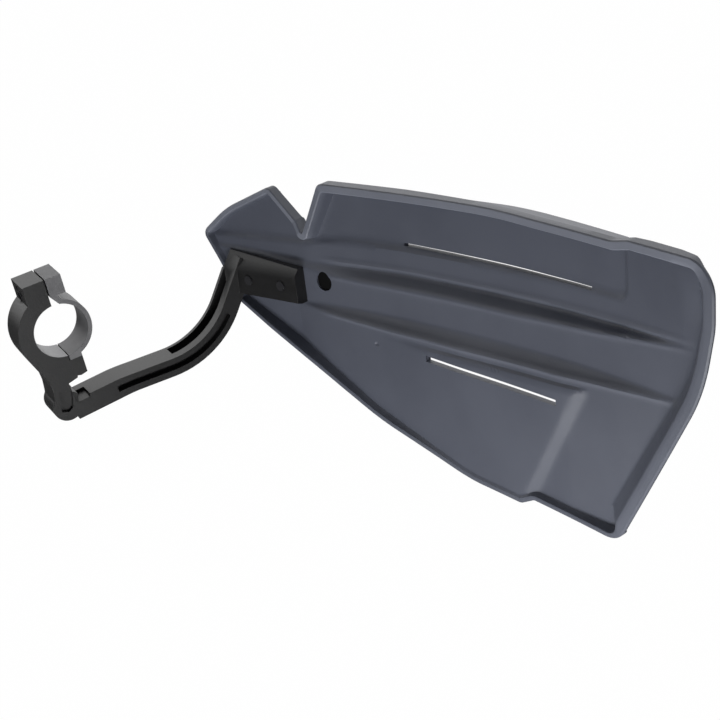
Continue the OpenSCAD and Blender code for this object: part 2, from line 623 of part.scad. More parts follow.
module clamp_cap() {
    color([0.45, 0.45, 0.45]) difference() {
        union() {
            in_clamp() along_bar(clamp_w) cap_profile();
            in_clamp() along_bar(tongue_w) translate([tongue_y - tongue_t / 2, shoulder_z - tongue_h])
                square([tongue_t, tongue_h + 1]);
        }
        across_ears(ear_back) cylinder(d = clamp_bolt_d + play / 2, h = cap_back - ear_back + 2);
    }
}

// Socket head screw: head at z 0 to head height, shank below it, hex socket in the head
module socket_screw(d, head_w, head_tall, length) {
    difference() {
        union() {
            cylinder(d = head_w, h = head_tall);
            translate([0, 0, -length]) cylinder(d = d, h = length + eps);
        }
        translate([0, 0, head_tall * 0.45]) cylinder(d = d * 0.9, h = head_tall, $fn = 6);
    }
}

module clamp_bolt() {
    color([0.3, 0.3, 0.32]) across_ears(ear_back + bolt_head_h + 0.4) rotate([180, 0, 0])
        socket_screw(clamp_bolt_d, bolt_head_d, bolt_head_h, cap_back - ear_back - bolt_head_h - 0.4);
}

// A shield screw comes from the front, through its washer and the shield, into its insert
module shield_screw(k) {
    length = washer_t + wall + plate_t + tip_out;
    color([0.3, 0.3, 0.32]) at_pad(screw_u - k * screw_pitch, screw_v, pad_level - wall - washer_t)
        rotate([180, 0, 0]) socket_screw(screw_d, head_d, head_h, length);
}

module washer(k) {
    color([0.55, 0.55, 0.57]) at_pad(screw_u - k * screw_pitch, screw_v, pad_level - wall - washer_t) difference() {
        cylinder(d = washer_d, h = washer_t);
        translate([0, 0, -1]) cylinder(d = screw_d + 2 * play, h = washer_t + 2);
    }
}

module insert(k) {
    color([0.7, 0.55, 0.3]) at_pad(screw_u - k * screw_pitch, screw_v, pad_level) difference() {
        cylinder(d = insert_d, h = insert_l);
        translate([0, 0, -1]) cylinder(d = screw_d + play, h = insert_l + 2);
    }
}

module hole_plug() {
    stem = wall - plug_recess;
    color([0.05, 0.05, 0.05]) at_pad(0, 0, pad_level - wall) union() {
        translate([0, 0, -plug_flange_t]) cylinder(d = plug_flange_d, h = plug_flange_t);
        translate([0, 0, -eps]) cylinder(d = spare_hole_d - play, h = stem + eps);
    }
}

arm();
clamp_cap();
clamp_bolt();
shield();
shield_screw(1);  // screw_inner
shield_screw(0);  // screw_outer
washer(1);  // washer_inner
washer(0);  // washer_outer
insert(1);  // insert_inner
insert(0);  // insert_outer
hole_plug();
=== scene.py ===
"""Looks of the motorcycle hand guard: the shield's moulded skin, materials, light and camera."""

import math

import bmesh
import bpy
import numpy as np
from mathutils import Matrix, Vector
from mathutils.geometry import delaunay_2d_cdt


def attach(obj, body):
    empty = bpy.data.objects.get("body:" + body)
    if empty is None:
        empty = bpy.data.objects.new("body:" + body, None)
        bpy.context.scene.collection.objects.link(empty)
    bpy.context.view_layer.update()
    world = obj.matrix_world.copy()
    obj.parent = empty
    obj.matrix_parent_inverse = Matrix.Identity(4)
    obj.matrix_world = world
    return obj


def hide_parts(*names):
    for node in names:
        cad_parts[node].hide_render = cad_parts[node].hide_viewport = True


MM = 0.001

# Camera: turn and height of the view, lens, and where the bar's axis falls in the picture
VIEW_TURN = math.radians(26)
VIEW_HEIGHT = math.radians(20)
PICTURE = 720
LENS = 95
SENSOR = 36
BAR_PIXEL = (55.5, 325)
BAR_DEPTH = 0.76

# Shield frame: its place, sweep, lean and climb on the part
SHIELD_AT = Vector((48, 91, 17)) * MM
SWEEP = math.radians(22)
LEAN = math.radians(5)
CLIMB = math.radians(5)
SHIELD_TURN = (Matrix.Rotation(SWEEP, 3, "Z") @ Matrix.Rotation(LEAN, 3, "X")
               @ Matrix.Rotation(-CLIMB, 3, "Y") @ Matrix.Rotation(math.radians(90), 3, "X"))

# The clamp's bore
BORE_R = 11.1 * MM

# Corners of a skin closer than this are one corner, and shorter edges than this go
SAME_PLACE = 0.004 * MM
SLIVER = 0.002 * MM
# Edges that bend more than this look sharp, and on the other pieces they are rounded
SHARP = math.radians(40)
SHIELD_SHARP = math.radians(32)

# Colours, as sRGB values from 0 to 255: darker and lighter patches, or one tone
SHIELD_TONES = ((84, 88, 100), (90, 94, 106))
# Painted highlight tone, for the lip and the crease crests where light catches them
PAINTED_HIGHLIGHT_TONE = (134, 138, 150)
ARM_TONES = ((21, 21, 22), (27, 27, 28))
BORE_TONE = (140, 140, 142)
CAP_TONES = ((104, 104, 106), (118, 118, 120))
STEEL_TONE = (90, 90, 94)
BRASS_TONE = (150, 120, 70)
# The plug's black rubber, made near black: painted shade, as dark as the inside of a deep hole
PLUG_RUBBER_AND_SHADE_TONES = ((2, 2, 2), (5, 5, 5))
WHITE = (1, 1, 1, 1)

# Sockets of a Mix node for colours: its factor, its two colours and its result
MIX_FACTOR, MIX_FIRST, MIX_SECOND, MIX_RESULT = 0, 6, 7, 2


def note_size():
    """Updates the view layer, before and after the looks."""
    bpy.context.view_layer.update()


class Socket:
    """One output of a node tree, with arithmetic that adds Math nodes."""

    def __init__(self, tree, output):
        self.tree = tree
        self.output = output

    def node(self, kind, inputs=None, **settings):
        made = self.tree.nodes.new(kind)
        for name, value in settings.items():
            setattr(made, name, value)
        for key, value in (inputs or {}).items():
            feed(self.tree, made.inputs[key], value)
        return made

    def math(self, operation, *values):
        made = self.node("ShaderNodeMath", operation=operation)
        for slot, value in zip(made.inputs, values):
            feed(self.tree, slot, value)
        return Socket(self.tree, made.outputs[0])

    def __add__(self, other):
        return self.math("ADD", self, other)

    def __sub__(self, other):
        return self.math("SUBTRACT", self, other)

    def __mul__(self, other):
        return self.math("MULTIPLY", self, other)

    def __rsub__(self, other):
        return self.math("SUBTRACT", other, self)

    __radd__ = __add__
    __rmul__ = __mul__

    def smooth(self, low, high):
        """0 below low, 1 above high, with a soft step between."""
        made = self.node("ShaderNodeMapRange", {"Value": self, "From Min": low, "From Max": high},
                         interpolation_type="SMOOTHSTEP")
        return Socket(self.tree, made.outputs["Result"])


def feed(tree, slot, value):
    if isinstance(value, Socket):
        tree.links.new(value.output, slot)
    else:
        slot.default_value = value


def colour(r, g, b):
    """A colour from its sRGB values, 0 to 255, as the renderer's linear light."""
    def linear(c):
        c = c / 255
        return c / 12.92 if c <= 0.04045 else ((c + 0.055) / 1.055) ** 2.4
    return (linear(r), linear(g), linear(b), 1.0)


def new_material(name):
    """A material, its shader, and the place on the object as a socket."""
    made = bpy.data.materials.new(name)
    made.use_nodes = True
    shader = made.node_tree.nodes["Principled BSDF"]
    coords = made.node_tree.nodes.new("ShaderNodeTexCoord")
    return made, shader, Socket(made.node_tree, coords.outputs["Object"])


def noise(place, scale, detail=2.0):
    made = place.node("ShaderNodeTexNoise", {"Vector": place, "Scale": scale, "Detail": detail})
    return Socket(place.tree, made.outputs["Fac"])


def mix(amount, first, second):
    made = amount.node("ShaderNodeMix", data_type="RGBA")
    feed(amount.tree, made.inputs[MIX_FACTOR], amount)
    feed(amount.tree, made.inputs[MIX_FIRST], first)
    feed(amount.tree, made.inputs[MIX_SECOND], second)
    return Socket(amount.tree, made.outputs[MIX_RESULT])


def patches(shade, tones):
    """Soft patches of a darker and a lighter tone."""
    darker, lighter = tones
    return mix(shade.smooth(0.3, 0.7), colour(*darker), colour(*lighter))


def bump(height, depth):
    made = height.node("ShaderNodeBump", {"Height": height, "Distance": depth, "Strength": 1.0})
    return Socket(height.tree, made.outputs["Normal"])


def shield_plastic():
    made, shader, place = new_material("shield_plastic")
    shade = noise(place, 28.0, 3.0)
    grain = noise(place, 2600.0, 2.0)
    # Painted highlight: the lip and the crests of the creases get a lighter colour where light catches
    # them
    painted_highlight = place.node("ShaderNodeAttribute", attribute_name="painted_edge_highlight")
    highlight_amount = Socket(place.tree, painted_highlight.outputs["Fac"]) * (0.7 + 0.5 * shade)
    base = mix(highlight_amount, patches(shade, SHIELD_TONES), colour(*PAINTED_HIGHLIGHT_TONE))
    feed(made.node_tree, shader.inputs["Base Color"], base)
    feed(made.node_tree, shader.inputs["Roughness"], 0.42 + 0.10 * grain)
    feed(made.node_tree, shader.inputs["Normal"], bump(grain, 0.04 * MM))
    return made


def coated_black():
    made, shader, place = new_material("arm_black")
    shade = noise(place, 60.0, 3.0)
    grain = noise(place, 1800.0, 2.0)
    across = place.node("ShaderNodeSeparateXYZ", {"Vector": place})
    _x, y, z = (Socket(place.tree, out) for out in across.outputs)
    radius = place.math("SQRT", y * y + z * z)
    bore = 1.0 - radius.smooth(BORE_R + 0.05 * MM, BORE_R + 0.25 * MM)
    base = mix(bore, patches(shade, ARM_TONES), colour(*BORE_TONE))
    feed(made.node_tree, shader.inputs["Base Color"], base)
    feed(made.node_tree, shader.inputs["Roughness"], 0.38 + 0.14 * grain)
    feed(made.node_tree, shader.inputs["Metallic"], bore * 0.6)
    feed(made.node_tree, shader.inputs["Normal"], bump(grain, 0.05 * MM))
    return made


def cap_grey():
    made, shader, place = new_material("cap_grey")
    shade = noise(place, 90.0, 3.0)
    grain = noise(place, 2200.0, 2.0)
    feed(made.node_tree, shader.inputs["Base Color"], patches(shade, CAP_TONES))
    feed(made.node_tree, shader.inputs["Roughness"], 0.45 + 0.12 * grain)
    feed(made.node_tree, shader.inputs["Metallic"], 0.4)
    feed(made.node_tree, shader.inputs["Normal"], bump(grain, 0.04 * MM))
    return made


def plain_metal(name, tone, rough):
    made, shader, place = new_material(name)
    grain = noise(place, 1500.0, 3.0)
    base = mix(grain, colour(*[c * 0.9 for c in tone]), colour(*tone))
    feed(made.node_tree, shader.inputs["Base Color"], base)
    feed(made.node_tree, shader.inputs["Roughness"], rough + 0.15 * grain)
    feed(made.node_tree, shader.inputs["Metallic"], 0.9)
    feed(made.node_tree, shader.inputs["Normal"], bump(grain, 0.02 * MM))
    return made


def plug_rubber():
    # Black rubber with painted shade: coloured near black, as dark as a deep hole's shade
    made, shader, place = new_material("plug_rubber")
    grain = noise(place, 2500.0, 2.0)
    darker, lighter = PLUG_RUBBER_AND_SHADE_TONES
    feed(made.node_tree, shader.inputs["Base Color"], mix(grain, colour(*darker), colour(*lighter)))
    feed(made.node_tree, shader.inputs["Roughness"], 0.7 + 0.2 * grain)
    shader.inputs["Specular IOR Level"].default_value = 0.15
    feed(made.node_tree, shader.inputs["Normal"], bump(grain, 0.03 * MM))
    return made


def dress(obj, material):
    for slot in obj.material_slots:
        slot.material = material
    if not obj.material_slots:
        obj.data.materials.append(material)


def closed_object(mesh, name):
    """An object of the mesh, with its loose faces joined into one skin."""
    bmesh.ops.remove_doubles(mesh, verts=mesh.verts, dist=SAME_PLACE)
    bmesh.ops.dissolve_degenerate(mesh, dist=SLIVER, edges=mesh.edges)
    bmesh.ops.recalc_face_normals(mesh, faces=mesh.faces)
    data = bpy.data.meshes.new(name)
    mesh.to_mesh(data)
    mesh.free()
    made = bpy.data.objects.new(name, data)
    bpy.context.scene.collection.objects.link(made)
    return made


def welded(node, name):
    """A copy of a CAD node with its loose triangles joined into one skin."""
    mesh = bmesh.new()
    mesh.from_mesh(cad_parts[node].data)
    return closed_object(mesh, name)


def smooth_below(obj, angle):
    """Smooth shading, with the edges that bend more than angle left sharp."""
    mesh = bmesh.new()
    mesh.from_mesh(obj.data)
    for face in mesh.faces:
        face.smooth = True
    for edge in mesh.edges:
        edge.smooth = len(edge.link_faces) == 2 and edge.calc_face_angle(0) < angle
    mesh.to_mesh(obj.data)
    mesh.free()


def soften(obj, width):
    """Rounds the sharp edges."""
    mod = obj.modifiers.new("rounded_edges", "BEVEL")
    mod.width = width
    mod.segments = 2
    mod.profile = 0.5
    mod.affect = "EDGES"
    mod.material = -1
    mod.limit_method = "ANGLE"
    mod.angle_limit = SHARP
    mod.harden_normals = False


def finished(node, material, width):
    """A CAD node's own skin, dressed, with its sharp edges rounded to a width."""
    made = welded(node, node + "_skin")
    dress(made, material)
    smooth_below(made, SHARP)
    soften(made, width)
    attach(made, "root")
    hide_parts(node)


# Shield skin, in the shield's own coordinates, in millimetres: u along it, v up its face and
# h towards the rider. The outline is the lip's outer edge, clockwise: (u, v, corner radius).
OUTLINE = [(-66, 14.3, 3.5), (-50, 26.0, 60), (-22.6, 37.6, 3.2), (-9.2, 25.2, 2), (-6.6, 19.4, 0.8),
           (6.0, 41.8, 4.5), (100, 43.8, 380), (157.5, 41.0, 6), (165.5, 42.4, 6), (204.0, 41.0, 11),
           (202.3, 19, 30), (195.2, -5, 80), (149.2, -72.2, 10), (107.5, -67.2, 4), (100.5, -70.2, 4),
           (74, -66.8, 80), (28, -51.6, 110), (-47.6, -13.4, 3)]
OUTLINE_STEP = 1.3
WRAP_R = 900
WALL = 2.5
# Slots, from end to end and their width, and round holes with their radius
SLOTS = (((39.5, 18.3), (134.5, 16.5), 1.1), ((56.5, -21.4), (123, -25.2), 2.4))
SLOT_STEP = 2
HOLES = ((0, 0, 4.0), (-19.5, -2.6, 2.2), (-38, -2.6, 2.2))
HOLE_SIDES = 32
# Grid spacing of the skin's triangles, how far they keep from a ring or a hole, and how close
# two of their corners may be
SPACING = 1.7
CLEAR_OF_RING = 0.5
CLEAR_OF_HOLE = 0.35
LEAST_GAP = 1e-4
# Where a ring moved inwards comes nearer to the outline than it should, it is drawn back
INSET_TRIES = 12
INSET_SLACK = 0.08
INSET_SHRINK = 0.9


def table(*pairs):
    """A function of u that runs straight from each pair (u, value) to the next."""
    us, values = zip(*pairs)
    return lambda u: np.interp(u, us, values)


def ramp(x, low, high):
    """0 below low, 1 above high, with a soft step between."""
    t = np.clip((np.asarray(x, float) - low) / (high - low), 0, 1)
    return t * t * (3 - 2 * t)


def ridge(gap, width):
    """1 on a line, falling to 0 a width away from it."""
    return 1 - np.clip(np.abs(gap) / width, 0, 1)


# Level of the channel in the middle of the face
CHANNEL = -7
# Heights v of the creases over u, from the slit line down to the foot of the lower step
slit_v = table((-60, 14.6), (-12, 16.4), (10, 18.6), (139, 17.8), (200, 16.6))
upper_top = table((-60, 9.4), (-36, 8.6), (-8, 6.8), (20, 6.4), (40, 6.6), (110, 6.0), (150, 5.8),
                  (178, 6.9), (200, 7.8))
upper_low = table((-60, 8.7), (-36, 7.4), (-8, 4.2), (20, 3.3), (40, 3.2), (101, 2.8), (140, 3.9),
                  (174, 6.3), (200, 7.3))
lower_top = table((-60, -8.8), (-16, -9.4), (10, -9.2), (40, -9.3), (90, -9.6), (139, -10.9),
                  (170, -12.8), (200, -13.9))
lower_low = table((-60, -9.8), (-15, -11.0), (10, -11.8), (38, -12.9), (75, -13.9), (121, -14.2),
                  (160, -13.9), (180, -14.0), (200, -14.8))
# How deep the upper wall goes and how far the lower step rises, over u
upper_drop = table((-60, 0.9), (-10, 1.6), (8, 3.0), (20, 4.2), (40, 4.9), (90, 5.0), (125, 4.5),
                   (150, 3.4), (170, 1.2), (182, 0))
lower_rise = table((-16, 0), (0, 2.2), (20, 3.8), (40, 4.5), (80, 4.6), (125, 4.4), (150, 2.9),
                   (170, 1.0), (182, 0))
STEP_BEND = 1.7
# Narrow beads along the creases: their lift, and for each its gap from the crease and its width
BEAD_LIFT = 0.8
UPPER_BEAD = (1.7, 1.5)
MIDDLE_BEAD = (-1.1, 1.2)
LOWER_BEAD = (-1.0, 1.1)
BEADS_START = (-6, 8)
BEADS_STOP = (165, 190)
# The creases are averaged over these shifts, which rounds them
BLUR = (-0.45, -0.15, 0.15, 0.45)
# Lines of triangle corners along each crease, at these heights above it
CREASES = ((slit_v, (-2.6, -1.4)), (upper_top, (-0.9, -0.45, 0, 0.4, 1.0, 1.7, 2.4, 3.2)),
           (upper_low, (-2.8, -2.2, -1.6, -1.1, -0.6, 0, 0.45, 0.9)), (lower_top, (-0.9, -0.45, 0, 0.45)),
           (lower_low, (0.9, 0.45, 0, -0.5, -1.0, -1.6, -2.2, -2.8, -3.6, -4.4)))
# The upper zone's dish: its outer end, its corner, its soft edge, and its depth on the fin
DISH_U = 152.5
DISH_CORNER = 5
DISH_EDGE = 1.3
DISH_BELOW_SLIT = 1.4
FIN_U = -6.6
FIN_DEPTH = 1.4
# The upper zone falls away to the top, from a line above its crease
FALL = 1.6
FALL_BEND = 1.3
FALL_FROM = 4
FALL_SPAN = 31
CORNER_CLIMB = 4.2
# The lower zone stands proud, up to its slanted outer edge
ZONE_LIFT = 1.7
ZONE_EDGE = ((131.5, -24.0), (107.5, -62.0))
ZONE_SOFT = 2.8
ZONE_LINES = (-2.2, -1.2, 0, 1.2, 2.2)
# A moulding mark, a small dimple
MARK = (28.9, -20.6)
MARK_DEPTH = 0.6
MARK_RINGS = (0, 0.4, 0.75, 1.1)


def beads(u):
    """How far the beads have risen: they start past the plate and run out before the end."""
    return ramp(u, *BEADS_START) * (1 - ramp(u, *BEADS_STOP))


def creased_level(u, v):
    """Level of the three bands of the face, the wall and the step between them, and the beads."""
    up, low = CHANNEL - upper_drop(u), CHANNEL + lower_rise(u)
    lift = BEAD_LIFT * beads(u)
    crest, foot, edge, sill = upper_top(u), upper_low(u), lower_top(u), lower_low(u)
    total = 0
    for shift in BLUR:
        w = v + shift
        top = up + lift * ridge(w - crest - UPPER_BEAD[0], UPPER_BEAD[1])
        wall = up + (CHANNEL - up) * (crest - w) / (crest - foot)
        middle = CHANNEL + lift * ridge(w - foot - MIDDLE_BEAD[0], MIDDLE_BEAD[1])
        step = CHANNEL + (low - CHANNEL) * np.clip((edge - w) / (edge - sill), 0, 1) ** STEP_BEND
        under = low + lift * ridge(w - sill - LOWER_BEAD[0], LOWER_BEAD[1])
        upper = np.where(w > crest, top, np.where(w > foot, wall, middle))
        total = total + np.where(w > edge, upper, np.where(w > sill, step, under))
    return total / len(BLUR)


def dish(u, v):
    """Depth of the upper zone's dish, which has a rounded corner at its outer end."""
    side = u - DISH_U + DISH_CORNER
    floor = slit_v(u) - DISH_BELOW_SLIT - v + DISH_CORNER
    outside = np.hypot(np.maximum(side, 0), np.maximum(floor, 0))
    away = outside + np.minimum(np.maximum(side, floor), 0) - DISH_CORNER
    within = (1 - ramp(away, -DISH_EDGE, DISH_EDGE)) * ramp(v, upper_top(u) + 2, upper_top(u) + 6)
    depth = 1.2 + 0.6 * ramp(u, 0, 50) - 0.6 * ramp(u, 90, 130)
    return np.where(u < FIN_U, FIN_DEPTH, depth) * within


def zone(u, v):
    """1 on the lower zone, 0 past its slanted edge and above it."""
    (a_u, a_v), (b_u, b_v) = ZONE_EDGE
    span = math.hypot(b_u - a_u, b_v - a_v)
    beyond = ((u - a_u) * (a_v - b_v) - (v - a_v) * (a_u - b_u)) / span
    return ramp(u, 30, 80) * (1 - ramp(beyond, -ZONE_SOFT, ZONE_SOFT)) * ramp(lower_low(u) - v, 3.4, 5.0)


def face_level(u, v):
    """Level h of the rider's face of the shield, without its rim."""
    u, v = np.asarray(u, float), np.asarray(v, float)
    rise = (v - upper_top(u) - FALL_FROM) / FALL_SPAN
    fall = FALL * ramp(u, -30, 20) * np.clip(rise, 0, 1.2) ** FALL_BEND
    climb = CORNER_CLIMB * ramp(u, 172, 198) * ramp(v, 14, 36)
    mark = MARK_DEPTH * (1 - ramp(np.hypot(u - MARK[0], v - MARK[1]), MARK_RINGS[1], MARK_RINGS[-1]))
    return creased_level(u, v) - dish(u, v) - fall + climb + ZONE_LIFT * zone(u, v) - mark


def front_level(u, v):
    """Level of the front face, a wall's thickness behind the rider's face."""
    return face_level(u, v) - WALL


def chart(u, v, h):
    """Shield coordinates to the part's frame, in metres. Past u 0 the shield wraps."""
    a = max(u, 0) / WRAP_R
    r = WRAP_R - h
    flat = Vector((u, v, h)) if u < 0 else Vector((r * math.sin(a), v, WRAP_R - r * math.cos(a)))
    return SHIELD_AT + SHIELD_TURN @ (flat * MM)


def rounded(corners, step):
    """Closed outline with its corners rounded, as points about one step apart."""
    points = []
    count = len(corners)
    for i in range(count):
        a, b, c = (np.array(corners[(i + k) % count][:2], float) for k in (-1, 0, 1))
        r = corners[i][2]
        to_a, to_c = (a - b) / np.linalg.norm(a - b), (c - b) / np.linalg.norm(c - b)
        half = math.acos(np.clip(to_a @ to_c, -1, 1)) / 2
        middle = b + (to_a + to_c) / np.linalg.norm(to_a + to_c) * r / math.sin(half)
        p, q = b + to_a * r / math.tan(half) - middle, b + to_c * r / math.tan(half) - middle
        start = math.atan2(p[1], p[0])
        sweep = (math.atan2(q[1], q[0]) - start + math.pi) % (2 * math.pi) - math.pi
        steps = max(3, int(math.degrees(abs(sweep)) / 7), int(abs(sweep) * r / step))
        for k in range(steps + 1):
            t = start + sweep * k / steps
            points.append(middle + r * np.array((math.cos(t), math.sin(t))))
    out = []
    for p, q in zip(points, points[1:] + points[:1]):
        pieces = max(1, int(round(np.linalg.norm(q - p) / step)))
        out += [p + (q - p) * k / pieces for k in range(pieces)]
    return np.array(out)


def nearest(points, loop):
    """Distance from each point to a closed loop, and the index of its nearest loop point."""
    along = np.roll(loop, -1, axis=0) - loop
    best = np.zeros(len(points))
    index = np.zeros(len(points), int)
    at_once = 2000
    for i in range(0, len(points), at_once):
        rel = points[i:i + at_once, None] - loop[None]
        t = np.clip((rel * along).sum(2) / (along * along).sum(1), 0, 1)
        gap = np.linalg.norm(rel - t[..., None] * along, axis=2)
        k = gap.argmin(1)
        best[i:i + at_once] = gap[np.arange(len(k)), k]
        index[i:i + at_once] = k
    return best, index


def inside(points, loop):
    """Whether each point lies within a closed loop."""
    a, b = loop, np.roll(loop, -1, axis=0)
    x, y = points[:, 0, None], points[:, 1, None]
    with np.errstate(divide="ignore", invalid="ignore"):
        cross = (a[:, 1] > y) != (b[:, 1] > y)
        at = a[:, 0] + (y - a[:, 1]) * (b[:, 0] - a[:, 0]) / (b[:, 1] - a[:, 1])
    return (cross & (x < at)).sum(1) % 2 == 1


def inset(loop, inward, depth):
    """The loop moved inwards by a depth per point, stopped where it would cross itself."""
    depth = np.broadcast_to(np.asarray(depth, float), (len(loop),)).copy()
    for _ in range(INSET_TRIES):
        gap, _index = nearest(loop + inward * depth[:, None], loop)
        crossed = (depth > 0) & (gap < depth - INSET_SLACK)
        if not crossed.any():
            break
        depth[crossed] *= INSET_SHRINK
    return loop + inward * depth[:, None], ~crossed


def smoothed(values, rounds):
    """Values round the loop, each drawn towards its neighbours."""
    for _ in range(rounds):
        values = (np.roll(values, 1) + 2 * values + np.roll(values, -1)) / 4
    return values


def circle(u, v, radius, sides):
    """Points round a centre."""
    turn = np.linspace(0, 2 * math.pi, sides, endpoint=False)
    return np.stack([u + radius * np.cos(turn), v + radius * np.sin(turn)], 1)


def openings():
    """Loops of the two slots and the three holes."""
    loops = []
    for (u0, v0), (u1, v1), width in SLOTS:
        a, b = np.array((u0, v0)), np.array((u1, v1))
        side = np.array((v0 - v1, u1 - u0)) / np.linalg.norm(b - a) * width / 2
        count = int((u1 - u0) / SLOT_STEP)
        there = [a + (b - a) * k / count + side for k in range(count + 1)]
        back = [b + (a - b) * k / count - side for k in range(count + 1)]
        loops.append(np.array(there + back))
    for u, v, radius in HOLES:
        loops.append(circle(u, v, radius, HOLE_SIDES))
    return loops


def guide_points():
    """Loose points that the triangles go through: along the creases and edges, and a grid."""
    clouds = []
    us = np.arange(-64, 202, SPACING)
    for crease, shifts in CREASES:
        for shift in shifts:
            clouds.append(np.stack([us, crease(us) + shift], 1))
    (a_u, a_v), (b_u, b_v) = ZONE_EDGE
    t = np.linspace(-0.15, 1.1, 32)
    for shift in ZONE_LINES:
        clouds.append(np.stack([a_u + (b_u - a_u) * t + shift, a_v + (b_v - a_v) * t], 1))
        clouds.append(np.stack([DISH_U + shift + 0 * t, 14 + 22 * t], 1))
    for radius in MARK_RINGS:
        clouds.append(circle(*MARK, radius, 12 if radius else 1))
    us, vs = np.meshgrid(np.arange(-66, 206, SPACING), np.arange(-76, 48, SPACING))
    stagger = 0.31 * SPACING * (np.round(vs.ravel() / SPACING) % 2)
    clouds.append(np.stack([us.ravel() + stagger, vs.ravel()], 1))
    return clouds


def filled(border, rings, holes, level):
    """Triangles over the border, through the rings and the guide points, around the holes."""
    points, heights, edges = [], [], []

    def add(line, h, keep=None):
        """A closed line of points. Its edges are kept where both of their ends are."""
        start, count = len(points), len(line)
        points.extend(map(tuple, line))
        heights.extend(np.broadcast_to(h, (count,)))
        for k in range(count):
            after = (k + 1) % count
            if keep is None or keep[k] and keep[after]:
                edges.append((start + k, start + after))

    for line, h, keep in rings:
        add(line, h, keep)
    for hole in holes:
        add(hole, level(hole[:, 0], hole[:, 1]))
    last = rings[-1][0]
    for cloud in guide_points():
        gap, _index = nearest(cloud, last)
        keep = inside(cloud, last) & (gap > CLEAR_OF_RING)
        for hole in holes:
            near, _index = nearest(cloud, hole)
            keep &= (near > CLEAR_OF_HOLE) & ~inside(cloud, hole)
        points.extend(map(tuple, cloud[keep]))
        heights.extend(level(cloud[keep][:, 0], cloud[keep][:, 1]))
    corners = [Vector(p) for p in points]
    found, _edges, faces, sources, _e, _f = delaunay_2d_cdt(corners, edges, [], 0, LEAST_GAP)
    place = np.array([tuple(p) for p in found])
    height = [heights[s[0]] if s else float(level(*place[i])) for i, s in enumerate(sources)]
    centres = np.array([place[list(f)].mean(0) for f in faces])
    keep = inside(centres, border)
    for hole in holes:
        keep &= ~inside(centres, hole)
    return [(x, y, h) for (x, y), h in zip(place, height)], [f for f, k in zip(faces, keep) if k]


# Rim: the lip's width at the top, the outer end and the bottom, and how much less on the fin
LIP = (3.4, 4.9, 1.9)
LIP_LESS_ON_FIN = (1.2, 0, 0.2)
# How far the inner wall leans in, at the same three places, and how deep the outer wall is
WALL_RUN = (0.9, 6.2, 0.9)
OUTER_WALL_TOP = table((-70, 2.6), (-20, 4.3), (10, 5), (50, 5.6), (85, 4.6), (112, 3.8), (160, 3.6),
                       (172, 4.6), (186, 4.4), (194, 3.2), (200, 1.2))
OUTER_WALL_END = 0.8
OUTER_WALL_LOW = 7
OUTER_WALL_DRAFT_LOW = 0.8
# Level of the lip along the top and along the bottom, and its least height over the face
LIP_LEVEL_TOP = table((-70, -5.4), (0, -4.2), (60, -2.4), (120, 0))
LIP_LEVEL_LOW = table((-60, -5.6), (-47, -3.4), (-30, -2), (10, -0.5), (40, 0))
LEAST_RIM = 0.8
# Rider's side of the rim, ring by ring: shares of the lip's width, of the run and of the drop
RIM_RINGS = ((0.14, 0, 0), (0.5, 0, 0), (0.86, 0, 0), (1, 0.01, 0.05), (1, 0.06, 0.12),
             (1, 0.5, 0.53), (1, 0.92, 0.94), (1, 1, 0.985))
FACE_FROM_FOOT = 0.7
EDGE_ROUND = 0.45
# Front's rounding, ring by ring: how far in, and its share of the fall to the front face
FRONT_RINGS = ((1.2, 0.16), (2.8, 0.5))
FRONT_IN = 4.5
FRONT_WIDER_AT_END = 1.2
# Painted highlight: how much lighter the lip is coloured where light catches it at the top, the outer end
# and the bottom, and the creases
LIP_HIGHLIGHT = (0.85, 0.25, 0.1)
CREASE_HIGHLIGHT = 0.2
CREASE_HIGHLIGHT_FROM_EDGE = 8


